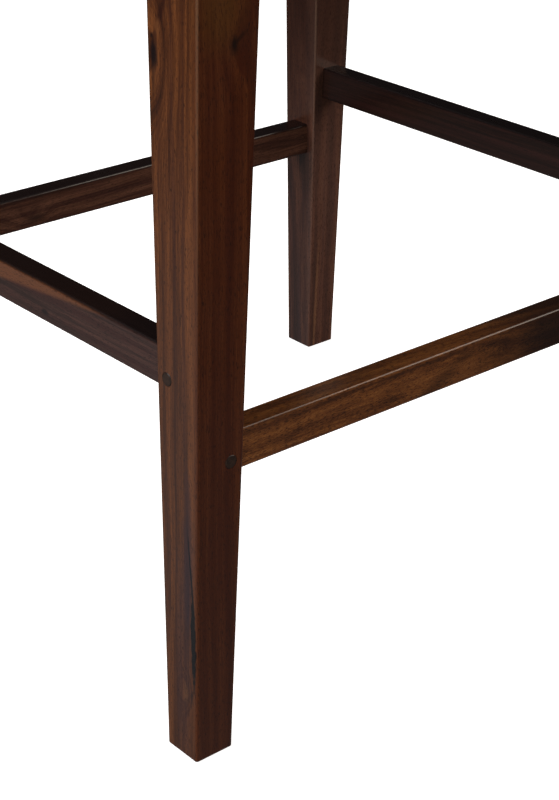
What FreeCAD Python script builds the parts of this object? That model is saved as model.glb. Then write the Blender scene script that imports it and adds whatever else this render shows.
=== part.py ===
import FreeCAD, Part
import os

# Counter-height stool in walnut. Four plumb legs taper on their inner faces only. Rails and
# aprons join them with blind, pegged mortise and tenon joints, and an upholstered seat is
# screwed down through corner blocks.
# Row frame: +Z up, origin on the floor under the middle of the stool, footrest at -Y.
# Corner frame: the outer edge of one leg is the Z axis, and the stool lies towards +X, +Y.

V = FreeCAD.Vector
ORIGIN = V(0, 0, 0)
UNIT = {"x": V(1, 0, 0), "y": V(0, 1, 0), "z": V(0, 0, 1)}

# --- driving dimensions, mm ---
overall_width = 460.0       # over the legs, left to right
overall_depth = 414.0       # over the legs, front to back
frame_height = 600.0        # floor to the top of the legs and aprons

leg_foot = 26.6             # square section at the floor
leg_top = 46.4              # square section at the top
leg_edge = 1.6              # eased long edges
foot_edge = 1.0             # eased rim of the foot

rail_height = 25.0          # lower rails, footrest included
rail_thickness = 17.0
rail_inset = 8.5            # leg's outer face to the rail's outer face
rail_edge = 1.6
front_rail_mid = 187.5      # height of the footrest's middle, and of the back rail's
side_rail_mid = 235.0
rail_tenon_height = 18.0
rail_tenon_thickness = 8.0
rail_blind_wall = 11.0      # wood left beyond the end of a rail's tenon

apron_height = 58.0
apron_thickness = 19.0
apron_inset = 12.0
apron_edge = 1.6
apron_tenon_height = 42.0
apron_tenon_thickness = 8.0
apron_tenon_gap = 1.5       # between the two tenons that meet inside a leg

tenon_clearance = 0.1       # glue line around a tenon
tenon_end_gap = 0.6         # glue space beyond its end
peg_radius = 4.0
peg_clearance = 0.08
peg_setback = 8.8           # leg's inner face to the peg's axis
peg_wall = 4.0              # how far a peg runs past its tenon
peg_proud = 0.25
peg_chamfer = 0.4
apron_peg_spacing = 26.0

block_height = 30.0
block_drop = 4.0            # top of the corner block below the top of the apron
block_leg_gap = 2.0         # between the block and the leg's inner edge
block_depth = 25.0          # across the block, towards the middle of the stool
block_tip = 6.0             # blunt ends against the aprons
block_screw = {"shank": 2.0, "head": 4.0, "head_height": 2.4, "length": 26.0}
block_screw_wood = 11.0     # corner block left under the screw's head
block_screw_side = 24.0     # screw's axis from the block's inner end, along the apron
seat_screw = {"shank": 2.5, "head": 5.0, "head_height": 3.0, "length": 38.0}
seat_screw_sink = 5.0       # head's seat above the underside of the block
screw_clearance = 0.15
cross_width = 1.1           # cross recess in a screw head
cross_depth = 1.4

seat_overhang = 3.0         # seat's side beyond the legs' outer faces
seat_thickness = 60.0       # over the cover
seat_corner = 24.0          # plan radius of the seat's corners
leather = 1.5
layer_gap = 0.3             # between the cover and what it is pulled over
board_thickness = 12.0
crown_height = 20.0         # top panel above the welt's ledge
crown_edge = 14.0
welt_radius = 2.5
welt_gap = 0.25
flap_width = 56.0           # leather turned under the seat board

cloth = 0.8                 # dust cover
cloth_margin = 3.0          # aprons to the edge of the dust cover
staple_crown = 10.0
staple_wire = 0.7
staple_leg = 6.0
staple_pitch = 34.0
staple_edge = 6.0           # from the edge of the dust cover

seat_base = frame_height
seat_top = seat_base + seat_thickness
seat_board_base = seat_base + leather + layer_gap
seat_board_top = seat_board_base + board_thickness
CORNERS = {
    "front_left": (-1, -1),
    "front_right": (1, -1),
    "back_left": (-1, 1),
    "back_right": (1, 1),
}


def leg_width(z):
    return leg_foot + (leg_top - leg_foot) * z / frame_height


def to_corner(shape, side_x, side_y):
    """Copy a shape from the corner frame to one of the four corners."""
    placed = shape.copy()
    if side_x > 0:
        placed = placed.mirror(ORIGIN, UNIT["x"])
    if side_y > 0:
        placed = placed.mirror(ORIGIN, UNIT["y"])
    placed.translate(V(side_x * overall_width / 2, side_y * overall_depth / 2, 0))
    return placed


def edges_along(shape, direction, tolerance=0.05):
    """Straight edges that run in a direction, within a small slope."""
    found = []
    for edge in shape.Edges:
        run = edge.Vertexes[-1].Point - edge.Vertexes[0].Point
        if run.Length > 0 and abs(run.dot(direction)) > run.Length * (1 - tolerance):
            found.append(edge)
    return found


# --- legs, rails and aprons ---
def plain_leg():
    """A leg in the corner frame, before its joints are cut."""
    leg = Part.makeWedge(
        0, 0, -leg_foot, -leg_top, 0,
        leg_foot, frame_height, 0, 0, leg_top)
    leg.rotate(ORIGIN, UNIT["x"], 90)
    return leg


def eased_leg():
    leg = plain_leg()
    leg = leg.makeFillet(leg_edge, edges_along(leg, UNIT["z"]))
    rim = [edge for edge in leg.Edges if edge.BoundBox.ZMax < foot_edge / 2]
    return leg.makeFillet(foot_edge, rim)


def member(along, side, mid_z, section):
    """A rail or apron: the axis it runs along, and the side of the stool that it is on."""
    span = overall_width if along == "x" else overall_depth
    breadth = overall_depth if along == "x" else overall_width
    return dict(section, along=along, side=side, mid_z=mid_z, span=span, breadth=breadth)


def beam(part, thickness, height, end_wall, grow=0.0, end_grow=0.0):
    """A box on a member's centre line that stops end_wall inside the legs' outer faces."""
    length = part["span"] - 2 * end_wall + 2 * end_grow
    box = Part.makeBox(length, thickness + 2 * grow, height + 2 * grow)
    box.translate(V(-length / 2, -thickness / 2 - grow, part["mid_z"] - height / 2 - grow))
    offset = part["side"] * (part["breadth"] / 2 - part["inset"] - part["thickness"] / 2)
    if part["along"] == "y":
        box.rotate(ORIGIN, UNIT["z"], 90)
        box.translate(V(offset, 0, 0))
    else:
        box.translate(V(0, offset, 0))
    return box


def tenon_beam(part, grow=0.0, end_grow=0.0):
    return beam(part, part["tenon_thickness"], part["tenon_height"], part["blind_wall"],
                grow, end_grow)


def member_shape(part, legs, peg_holes):
    body = beam(part, part["thickness"], part["height"], part["blind_wall"])
    body = body.makeFillet(part["edge"], edges_along(body, UNIT[part["along"]]))
    for leg in legs:
        body = body.cut(leg)
    return body.fuse(tenon_beam(part)).cut(peg_holes).removeSplitter().Solids[0]


def peg_places(part):
    """Outer end of each peg, and the direction out of the leg."""
    outward = UNIT["y" if part["along"] == "x" else "x"] * part["side"]
    places = []
    for step in part["peg_steps"]:
        z = part["mid_z"] + step
        reach = part["span"] / 2 - leg_width(z) + peg_setback
        for end in (-1, 1):
            point = UNIT[part["along"]] * (end * reach) + outward * (part["breadth"] / 2)
            places.append((point + UNIT["z"] * z, outward))
    return places


def peg_length(part):
    return part["inset"] + (part["thickness"] + part["tenon_thickness"]) / 2 + peg_wall


def pegs(part):
    shapes = []
    for point, outward in peg_places(part):
        length = peg_length(part) + peg_proud
        peg = Part.makeCylinder(peg_radius, length, point + outward * peg_proud, -outward)
        end = [edge for edge in peg.Edges
               if abs((edge.CenterOfMass - point).dot(outward) - peg_proud) < peg_proud / 2
               and len(edge.Vertexes) == 1]
        shapes.append(peg.makeChamfer(peg_chamfer, end))
    return shapes


def peg_bores(part):
    bores = []
    for point, outward in peg_places(part):
        depth = peg_length(part) + tenon_end_gap
        radius = peg_radius + peg_clearance
        bores.append(Part.makeCylinder(radius, depth + 1, point + outward, -outward))
    return bores


# --- corner blocks and screws, in the corner frame ---
def apron_inner():
    return apron_inset + apron_thickness


def block_top():
    return frame_height - block_drop


def block_near():
    """Where the block's inner cut meets an apron, clear of the leg's inner edge."""
    diagonal = 2 * leg_width(block_top()) + block_leg_gap * 2 ** 0.5
    return diagonal - apron_inner()


def block_far():
    return block_near() + block_depth * 2 ** 0.5


def corner_block():
    inner = apron_inner()
    near = block_near()
    far = block_far()
    outline = [
        (inner, near), (inner, far), (inner + block_tip, far),
        (far, inner + block_tip), (far, inner), (near, inner),
    ]
    points = [V(x, y, block_top() - block_height) for x, y in outline]
    return Part.Face(Part.makePolygon(points + points[:1])).extrude(UNIT["z"] * block_height)


def screw(size, seat, inward):
    """A cross-head screw: its head's seat is at one point and its shank runs inward."""
    head = Part.makeCylinder(size["head"], size["head_height"], seat, -inward)
    shank = Part.makeCylinder(size["shank"], size["length"], seat, inward)
    across = size["head"] * 1.1
    shape = head.fuse(shank)
    for wide, deep in ((across, cross_width), (cross_width, across)):
        slot = Part.makeBox(wide, deep, cross_depth, V(-wide / 2, -deep / 2, -cross_depth))
        turn = FreeCAD.Placement(ORIGIN, FreeCAD.Rotation(UNIT["z"], -inward))
        slot.Placement = turn * slot.Placement
        slot.translate(seat - inward * size["head_height"])
        shape = shape.cut(slot)
    return shape.removeSplitter().Solids[0]


def screw_hole(size, seat, inward):
    shank = Part.makeCylinder(size["shank"] + screw_clearance, size["length"] + 1, seat, inward)
    room = Part.makeCylinder(size["head"] + 0.6, 4 * block_depth, seat, -inward)
    return shank.fuse(room)


def block_screw_places():
    """Two screws for each block, one into each apron."""
    along = block_near() + block_screw_side
    depth = apron_inner() + block_screw_wood
    z = block_top() - block_height / 2
    return [(V(depth, along, z), -UNIT["x"]), (V(along, depth, z), -UNIT["y"])]


def seat_screw_place():
    middle = (block_near() + block_far() + 2 * apron_inner()) / 4
    return V(middle, middle, block_top() - block_height + seat_screw_sink), UNIT["z"]


# --- seat ---
def rounded_plan(inset, base, height, radius):
    """A prism on the seat's outline, drawn in by inset on every side."""
    width = overall_width + 2 * (seat_overhang - inset)
    depth = overall_depth + 2 * (seat_overhang - inset)
    prism = Part.makeBox(width, depth, height, V(-width / 2, -depth / 2, base))
    return prism.makeFillet(radius, edges_along(prism, UNIT["z"]))


def ledge_inset():
    return 2 * (welt_radius + welt_gap)


def ledge_height():
    return seat_top - crown_height


def cushion_form(skin):
    """The seat's form, drawn in by the thickness of a skin."""
    base = seat_base + skin
    band = rounded_plan(skin, base, ledge_height() - skin - base, seat_corner - skin)
    inset = ledge_inset() + skin
    crown_base = base + board_thickness
    crown = rounded_plan(inset, crown_base, seat_top - skin - crown_base, seat_corner - inset)
    rim = [edge for edge in crown.Edges if edge.BoundBox.ZMin > seat_top - skin - 0.1]
    crown = crown.makeFillet(crown_edge - skin, rim)
    return band.fuse(crown).removeSplitter()


def seat_cover():
    opening = rounded_plan(flap_width, seat_base - 1, leather + 2, seat_corner / 2)
    return cushion_form(0).cut(cushion_form(leather)).cut(opening).Solids[0]


def seat_foam():
    form = cushion_form(leather + layer_gap)
    size = overall_width + overall_depth
    below = Part.makeBox(size, size, seat_board_top + layer_gap, V(-size / 2, -size / 2, 0))
    return form.cut(below).Solids[0]


def seat_board():
    skin = leather + layer_gap
    return rounded_plan(skin, seat_board_base, board_thickness, seat_corner - skin)


def welt():
    inset = welt_radius + welt_gap
    z = ledge_height() + inset
    x = overall_width / 2 + seat_overhang - inset
    y = overall_depth / 2 + seat_overhang - inset
    r = seat_corner - inset
    shapes = []
    for side in (-1, 1):
        start = V(r - x, side * y, z)
        shapes.append(Part.makeCylinder(welt_radius, 2 * (x - r), start, UNIT["x"]))
        start = V(side * x, r - y, z)
        shapes.append(Part.makeCylinder(welt_radius, 2 * (y - r), start, UNIT["y"]))
    for quarter, (side_x, side_y) in enumerate(((1, 1), (-1, 1), (-1, -1), (1, -1))):
        bend = Part.makeTorus(r, welt_radius, ORIGIN, UNIT["z"], 0, 360, 90)
        bend.rotate(ORIGIN, UNIT["z"], 90 * quarter)
        bend.translate(V(side_x * (x - r), side_y * (y - r), z))
        shapes.append(bend)
    return shapes[0].fuse(shapes[1:]).removeSplitter().Solids[0]


# --- underside ---
def dust_cover_plan():
    """Half width and half depth of the dust cover."""
    margin = apron_inner() + cloth_margin
    return overall_width / 2 - margin, overall_depth / 2 - margin


def dust_cover(screw_holes):
    x, y = dust_cover_plan()
    sheet = Part.makeBox(2 * x, 2 * y, cloth, V(-x, -y, seat_base - cloth))
    notch = leg_width(frame_height) + cloth_margin
    corner = Part.makeBox(notch, notch, 2 * cloth, V(0, 0, seat_base - 1.5 * cloth))
    for side_x, side_y in CORNERS.values():
        sheet = sheet.cut(to_corner(corner, side_x, side_y))
    return sheet.cut(screw_holes).Solids[0]


def staple(x, y, along):
    """A wire staple driven up through the dust cover and the leather into the board."""
    top = seat_board_base + staple_leg
    base = seat_base - cloth - staple_wire
    crown = Part.makeBox(staple_crown, staple_wire, staple_wire, V(-staple_crown / 2, 0, base))
    shape = crown
    for end in (-staple_crown / 2, staple_crown / 2 - staple_wire):
        shape = shape.fuse(Part.makeBox(staple_wire, staple_wire, top - base, V(end, 0, base)))
    shape = shape.removeSplitter()
    if along == "y":
        shape.rotate(ORIGIN, UNIT["z"], 90)
    shape.translate(V(x, y, 0))
    return shape


def staples():
    half_x, half_y = dust_cover_plan()
    reach = leg_width(frame_height) - apron_inner() + staple_edge + staple_crown
    shapes = []
    for along, run, across in (("x", half_x, half_y), ("y", half_y, half_x)):
        count = int(2 * (run - reach) / staple_pitch) + 1
        pitch = 2 * (run - reach) / (count - 1)
        for index in range(count):
            place = -run + reach + index * pitch
            for side in (-1, 1):
                edge = side * (across - staple_edge)
                x, y = (place, edge) if along == "x" else (edge, place)
                shapes.append(staple(x, y, along))
    return shapes


def build():
    rail = {
        "thickness": rail_thickness, "height": rail_height, "inset": rail_inset,
        "edge": rail_edge, "tenon_height": rail_tenon_height,
        "tenon_thickness": rail_tenon_thickness, "blind_wall": rail_blind_wall,
        "peg_steps": (0.0,),
    }
    tenon_face = apron_inset + (apron_thickness + apron_tenon_thickness) / 2
    apron = {
        "thickness": apron_thickness, "height": apron_height, "inset": apron_inset,
        "edge": apron_edge, "tenon_height": apron_tenon_height,
        "tenon_thickness": apron_tenon_thickness, "blind_wall": tenon_face + apron_tenon_gap,
        "peg_steps": (-apron_peg_spacing / 2, apron_peg_spacing / 2),
    }
    apron_mid = frame_height - apron_height / 2
    rails = {
        "footrest_front": member("x", -1, front_rail_mid, rail),
        "rail_back": member("x", 1, front_rail_mid, rail),
        "rail_left": member("y", -1, side_rail_mid, rail),
        "rail_right": member("y", 1, side_rail_mid, rail),
    }
    aprons = {
        "apron_front": member("x", -1, apron_mid, apron),
        "apron_back": member("x", 1, apron_mid, apron),
        "apron_left": member("y", -1, apron_mid, apron),
        "apron_right": member("y", 1, apron_mid, apron),
    }
    members = dict(rails, **aprons)

    bores = []
    mortises = []
    for part in members.values():
        bores += peg_bores(part)
        mortises.append(tenon_beam(part, tenon_clearance, tenon_end_gap))
    peg_holes = Part.makeCompound(bores)
    leg_cuts = Part.makeCompound(bores + mortises)

    block_screws = []
    block_holes = []
    seat_screws = []
    seat_holes = []
    nodes = {}
    for name, (side_x, side_y) in CORNERS.items():
        nodes["leg_" + name] = to_corner(eased_leg(), side_x, side_y).cut(leg_cuts).Solids[0]
        for seat, inward in block_screw_places():
            block_screws.append(to_corner(screw(block_screw, seat, inward), side_x, side_y))
            block_holes.append(to_corner(screw_hole(block_screw, seat, inward), side_x, side_y))
        seat, inward = seat_screw_place()
        seat_screws.append(to_corner(screw(seat_screw, seat, inward), side_x, side_y))
        seat_holes.append(to_corner(screw_hole(seat_screw, seat, inward), side_x, side_y))
    block_holes = Part.makeCompound(block_holes)
    seat_holes = Part.makeCompound(seat_holes)
    for name, (side_x, side_y) in CORNERS.items():
        block = to_corner(corner_block(), side_x, side_y)
        nodes["corner_block_" + name] = block.cut(block_holes).cut(seat_holes).Solids[0]

    legs = [to_corner(plain_leg(), *sides) for sides in CORNERS.values()]
    for name, part in members.items():
        nodes[name] = member_shape(part, legs, peg_holes)
        if name in aprons:
            nodes[name] = nodes[name].cut(block_holes).Solids[0]
    nodes["rail_pegs"] = Part.makeCompound(sum((pegs(part) for part in rails.values()), []))
    nodes["apron_pegs"] = Part.makeCompound(sum((pegs(part) for part in aprons.values()), []))
    nodes["block_screws"] = Part.makeCompound(block_screws)
    nodes["seat_screws"] = Part.makeCompound(seat_screws)

    wires = Part.makeCompound(staples())
    nodes["seat_board"] = seat_board().cut(seat_holes).cut(wires).Solids[0]
    nodes["seat_foam"] = seat_foam()
    nodes["seat_cover"] = seat_cover().cut(seat_holes).cut(wires).Solids[0]
    nodes["seat_welt"] = welt()
    nodes["dust_cover"] = dust_cover(seat_holes).cut(wires).Solids[0]
    nodes["staples"] = wires
    return nodes


def main():
    os.makedirs("parts", exist_ok=True)
    for name, shape in build().items():
        shape.exportStep("parts/" + name + ".step")
        box = shape.BoundBox
        print("%-26s %3d solid(s) %9.0f mm3  z %6.1f..%6.1f %s" % (
            name, len(shape.Solids), shape.Volume, box.ZMin, box.ZMax,
            "" if shape.isValid() else "INVALID"))


main()
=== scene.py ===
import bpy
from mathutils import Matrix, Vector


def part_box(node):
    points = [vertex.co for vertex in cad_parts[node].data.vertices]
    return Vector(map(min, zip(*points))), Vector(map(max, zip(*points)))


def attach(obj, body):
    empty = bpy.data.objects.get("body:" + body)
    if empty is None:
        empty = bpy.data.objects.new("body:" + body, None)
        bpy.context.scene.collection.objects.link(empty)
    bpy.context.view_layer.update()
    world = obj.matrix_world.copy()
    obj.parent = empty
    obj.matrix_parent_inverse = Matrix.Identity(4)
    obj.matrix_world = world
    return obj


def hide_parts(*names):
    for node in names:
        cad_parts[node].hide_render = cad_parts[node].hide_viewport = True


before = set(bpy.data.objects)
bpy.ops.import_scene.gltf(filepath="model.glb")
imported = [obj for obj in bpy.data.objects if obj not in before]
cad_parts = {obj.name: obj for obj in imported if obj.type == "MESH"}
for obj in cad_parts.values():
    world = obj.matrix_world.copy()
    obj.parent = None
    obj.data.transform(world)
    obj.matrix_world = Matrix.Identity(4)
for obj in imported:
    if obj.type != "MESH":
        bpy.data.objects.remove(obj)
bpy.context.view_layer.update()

import math
import bpy
import bmesh
from mathutils import Matrix, Vector, noise
from mathutils.bvhtree import BVHTree

millimetre = 0.001
scene = bpy.context.scene

# settings that many nodes share
smooth = {"interpolation_type": "SMOOTHSTEP"}
plus = {"operation": "ADD"}
times = {"operation": "MULTIPLY"}
timesPlus = {"operation": "MULTIPLY_ADD"}


def linear(hexColour):
    # sRGB hex to the linear red, green, blue and alpha that the shaders take
    channels = [int(hexColour[i:i + 2], 16) / 255 for i in (1, 3, 5)]
    return [c / 12.92 if c <= 0.04045 else ((c + 0.055) / 1.055) ** 2.4 for c in channels] + [1.0]


def addNode(tree, kind, settings=None, inputs=None):
    # a socket in inputs is linked, anything else becomes the socket's value
    node = tree.nodes.new(kind)
    for key, value in (settings or {}).items():
        if key == "stops":
            for index, (place, colour) in enumerate(value):
                ends = node.color_ramp.elements
                stop = ends[index] if index < 2 else ends.new(place)
                stop.position = place
                stop.color = linear(colour)
        else:
            setattr(node, key, value)
    for key, value in (inputs or {}).items():
        if isinstance(value, bpy.types.NodeSocket):
            tree.links.new(value, node.inputs[key])
        else:
            node.inputs[key].default_value = value
    return node


def newMaterial(name):
    material = bpy.data.materials.new(name)
    material.use_nodes = True
    material.node_tree.nodes.clear()
    return material, material.node_tree


def finishMaterial(tree, shader):
    addNode(tree, "ShaderNodeOutputMaterial", None, {"Surface": shader.outputs[0]})


def meshPiece(name, vertices, faces, material, rounded=True):
    mesh = bpy.data.meshes.new(name)
    mesh.from_pydata([tuple(v) for v in vertices], [], faces)
    shape = bmesh.new()
    shape.from_mesh(mesh)
    bmesh.ops.recalc_face_normals(shape, faces=shape.faces)
    shape.to_mesh(mesh)
    shape.free()
    mesh.polygons.foreach_set("use_smooth", [rounded] * len(mesh.polygons))
    piece = bpy.data.objects.new(name, mesh)
    piece.data.materials.append(material)
    scene.collection.objects.link(piece)
    return piece


def applyModifiers(piece):
    # swap the mesh for the evaluated one, so that no modifier is left
    evaluated = piece.evaluated_get(bpy.context.evaluated_depsgraph_get())
    mesh = bpy.data.meshes.new_from_object(evaluated)
    piece.modifiers.clear()
    piece.data = mesh


stoolCamera = {
    "position": (-0.80487, -0.92231, 0.68354),
    "heading": 49.820,      # degrees, from +X towards +Y
    "tilt": -22.616,
    "roll": 0.537,
    "lens": 86.87,          # mm, on the long side of the sensor
    "sensor": 36,
    "shift": (0.0494, -0.15),
}


def addCamera(plan):
    data = bpy.data.cameras.new("productCamera")
    data.sensor_width = plan["sensor"]
    data.lens = plan["lens"]
    data.shift_x, data.shift_y = plan["shift"]
    camera = bpy.data.objects.new("productCamera", data)
    scene.collection.objects.link(camera)
    heading, tilt, roll = (math.radians(plan[key]) for key in ("heading", "tilt", "roll"))
    forward = Vector((math.cos(heading) * math.cos(tilt), math.sin(heading) * math.cos(tilt),
                      math.sin(tilt)))
    right = Vector((math.sin(heading), -math.cos(heading), 0))
    up = right.cross(forward)
    right, up = (right * math.cos(roll) + up * math.sin(roll),
                 up * math.cos(roll) - right * math.sin(roll))
    turned = Matrix((right, up, -forward)).transposed()
    camera.matrix_world = Matrix.Translation(plan["position"]) @ turned.to_4x4()
    scene.camera = camera


studio = {
    "floorColour": "#f4f3f1",
    "floorGlow": 0.75,      # the sweep is lit from below, as a light table is
    "floorReach": 12,       # m, from the middle to each edge
    "sky": 0.2,
    "skyLeft": 0.3,
    "ground": 0.014,
    "groundNear": 0.13,     # pale floor, seen in the lower part of the legs
    "groundLeft": 0.33,     # pale sheet on the floor at the left
    "wallGlow": 1.9,        # warm wall low in front, seen in the near rounded edges
    "wallColour": "#ffd2a6",
    "wallAim": (-0.77, -0.64, 0),
    # soft steps over a ray's direction: what is measured, where the step starts, where it is full
    "steps": {
        "above": ("Z", 0.52, 0.85),
        "below": ("Z", -0.28, -0.65),
        "left": ("X", 0.0, -0.9),
        "sheetTop": ("Z", -0.27, -0.42),
        "sheetFoot": ("Z", -0.62, -0.47),
        "wallTop": ("Z", 0.05, -0.1),
        "wallFoot": ("Z", -0.45, -0.26),
        "wallSides": ("wall", 0.4, 0.85),
    },
    "lights": {
        "leftSoftbox": {"at": (-2.1, 0.25, 1.15), "size": 1.4, "watts": 42, "colour": "#ffffff"},
        "overheadSoftbox": {"at": (1.85, -1.25, 1.75), "size": 1.4, "watts": 28, "colour": "#fff0e0"},
        "frontSoftbox": {"at": (0.5, -2.3, 1.0), "size": 1.1, "watts": 15, "colour": "#ffffff"},
        "backSoftbox": {"at": (-0.3, 0.9, 3.0), "size": 1.4, "watts": 30, "colour": "#ffffff"},
    },
    "lightsAim": (0, 0, 0.3),
}


def addStudio(plan):
    scene.view_settings.view_transform = "Standard"
    scene.view_settings.look = "None"
    world = bpy.data.worlds.new("studioWorld")
    scene.world = world
    world.use_nodes = True
    tree = world.node_tree
    tree.nodes.clear()
    direction = addNode(tree, "ShaderNodeTexCoord").outputs["Generated"]
    axes = addNode(tree, "ShaderNodeSeparateXYZ", None, {0: direction}).outputs
    facing = addNode(tree, "ShaderNodeVectorMath", {"operation": "DOT_PRODUCT"},
                     {0: direction, 1: plan["wallAim"]}).outputs["Value"]
    step = {}
    for name, (measure, start, full) in plan["steps"].items():
        value = facing if measure == "wall" else axes[measure]
        step[name] = addNode(tree, "ShaderNodeMapRange", smooth, {
            "Value": value, "From Min": start, "From Max": full}).outputs[0]

    wall = plan["wallGlow"]
    for side in ("wallSides", "wallFoot", "wallTop"):
        wall = addNode(tree, "ShaderNodeMath", times, {0: step[side], 1: wall}).outputs[0]
    sheet = plan["groundLeft"]
    for side in ("sheetTop", "sheetFoot", "left"):
        sheet = addNode(tree, "ShaderNodeMath", times, {0: step[side], 1: sheet}).outputs[0]
    sky = addNode(tree, "ShaderNodeMath", timesPlus, {
        0: step["left"], 1: plan["skyLeft"], 2: plan["sky"]}).outputs[0]
    ground = addNode(tree, "ShaderNodeMath", timesPlus, {
        0: step["below"], 1: plan["groundNear"], 2: plan["ground"]}).outputs[0]
    ground = addNode(tree, "ShaderNodeMath", plus, {0: ground, 1: sheet}).outputs[0]
    glow = addNode(tree, "ShaderNodeMix", {"data_type": "FLOAT"}, {
        "Factor": step["above"], "A": ground, "B": sky}).outputs[0]

    # the camera sees plain white, and only reflections and soft light see the rest
    seen = addNode(tree, "ShaderNodeLightPath").outputs["Is Camera Ray"]
    strength = addNode(tree, "ShaderNodeMix", {"data_type": "FLOAT"}, {
        "Factor": seen, "A": glow, "B": 1.0}).outputs[0]
    surround = addNode(tree, "ShaderNodeBackground", None, {"Color": (1, 1, 1, 1), "Strength": strength})
    wallStrength = addNode(tree, "ShaderNodeMix", {"data_type": "FLOAT"}, {
        "Factor": seen, "A": wall, "B": 0.0}).outputs[0]
    frontWall = addNode(tree, "ShaderNodeBackground", None, {
        "Color": linear(plan["wallColour"]), "Strength": wallStrength})
    both = addNode(tree, "ShaderNodeAddShader", None, {0: surround.outputs[0], 1: frontWall.outputs[0]})
    addNode(tree, "ShaderNodeOutputWorld", None, {"Surface": both.outputs[0]})

    for name, light in plan["lights"].items():
        data = bpy.data.lights.new(name, "AREA")
        data.shape = "SQUARE"
        data.size = light["size"]
        data.energy = light["watts"]
        data.color = linear(light["colour"])[:3]
        lamp = bpy.data.objects.new(name, data)
        lamp.location = light["at"]
        aim = Vector(plan["lightsAim"]) - Vector(light["at"])
        lamp.rotation_mode = "QUATERNION"
        lamp.rotation_quaternion = aim.to_track_quat("-Z", "Y")
        lamp.visible_camera = False
        scene.collection.objects.link(lamp)

    paper, tree = newMaterial("pale matt paper sweep")
    shader = addNode(tree, "ShaderNodeBsdfPrincipled", None, {
        "Base Color": linear(plan["floorColour"]), "Roughness": 0.9,
        "Emission Color": (1, 1, 1, 1), "Emission Strength": plan["floorGlow"]})
    finishMaterial(tree, shader)
    reach = plan["floorReach"]
    corners = [(-reach, -reach, 0), (reach, -reach, 0), (reach, reach, 0), (-reach, reach, 0)]
    floor = meshPiece("floor", corners, [(0, 1, 2, 3)], paper, False)
    floor.visible_glossy = False
    floor.visible_diffuse = False


walnut = {
    # noises drawn out along the grain: mm across, mm along, offset, detail, roughness
    "noises": {
        "sway": (40, 210, 0.0, 2.0, 0.5),
        "streaks": (7.0, 260, 11.3, 3.0, 0.6),
        "threads": (1.7, 110, 8.4, 2.0, 0.6),
        "fibres": (0.62, 22, 5.1, 2.0, 0.65),
        "purple": (4.5, 420, 31.7, 2.0, 0.5),
        # open pores, 0.3 mm wide; drawn a little wider than the tree's, so that they show
        "pores": (0.36, 3.0, 7.7, 1.0, 0.5),
        "cloud": (18, 60, 2.2, 2.0, 0.5),
    },
    "rings": {"bands": 2.2, "lines": 0.42},     # width of each, in yearly rings
    "shares": {"bands": 0.26, "lines": 0.14, "streaks": 0.26, "threads": 0.14, "fibres": 0.2},
    "toneRange": (0.33, 0.69),
    "purpleRange": (0.52, 0.7),
    "poreSoftness": 0.08,
    "poreCrowding": 0.12,   # how much the dark lines draw the pores together
    "poreColour": "#140a07",
    "cloudRange": (0.3, 0.7),
    "roughness": (0.38, 0.5),
    "relief": {"fibres": 0.35, "pores": -0.8, "strength": 0.22, "depth": 0.12},     # depth in mm
    "anyLength": 1e6,       # mm, for a stain, or a patch of painted shade and light, that runs right along the board
}


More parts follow.
